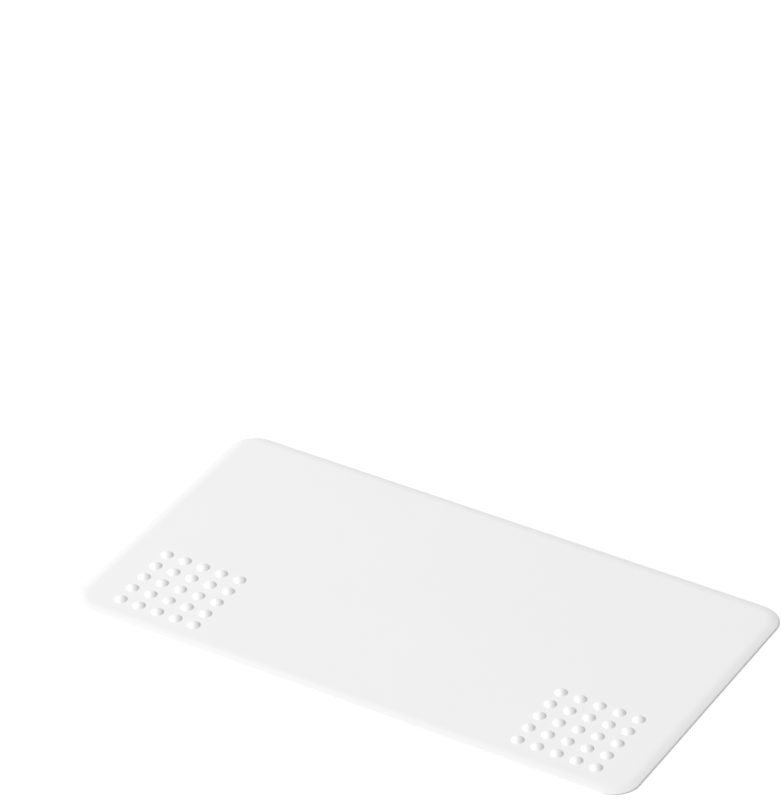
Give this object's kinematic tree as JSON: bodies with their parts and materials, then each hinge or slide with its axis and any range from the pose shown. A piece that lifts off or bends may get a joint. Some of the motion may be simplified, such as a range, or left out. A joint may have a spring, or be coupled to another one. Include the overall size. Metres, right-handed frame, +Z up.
{
  "type": "robot vacuum drip tray",
  "caption": "Flat moulded drip tray with rounded corners, a bevelled rim and two square fields of low grip domes near its front corners.",
  "frame": {"origin": "on the ground under the middle of the rectangular footprint", "axes": "+X along the width, +Y towards the back edge, +Z up; the grip domes are near the front edge"},
  "size_m": [0.33, 0.178, 0.003],
  "materials": {
    "white_plastic": "fine satin moulded texture"
  },
  "bodies": {
    "root": {"tray": "white_plastic"}
  },
  "joints": []
}
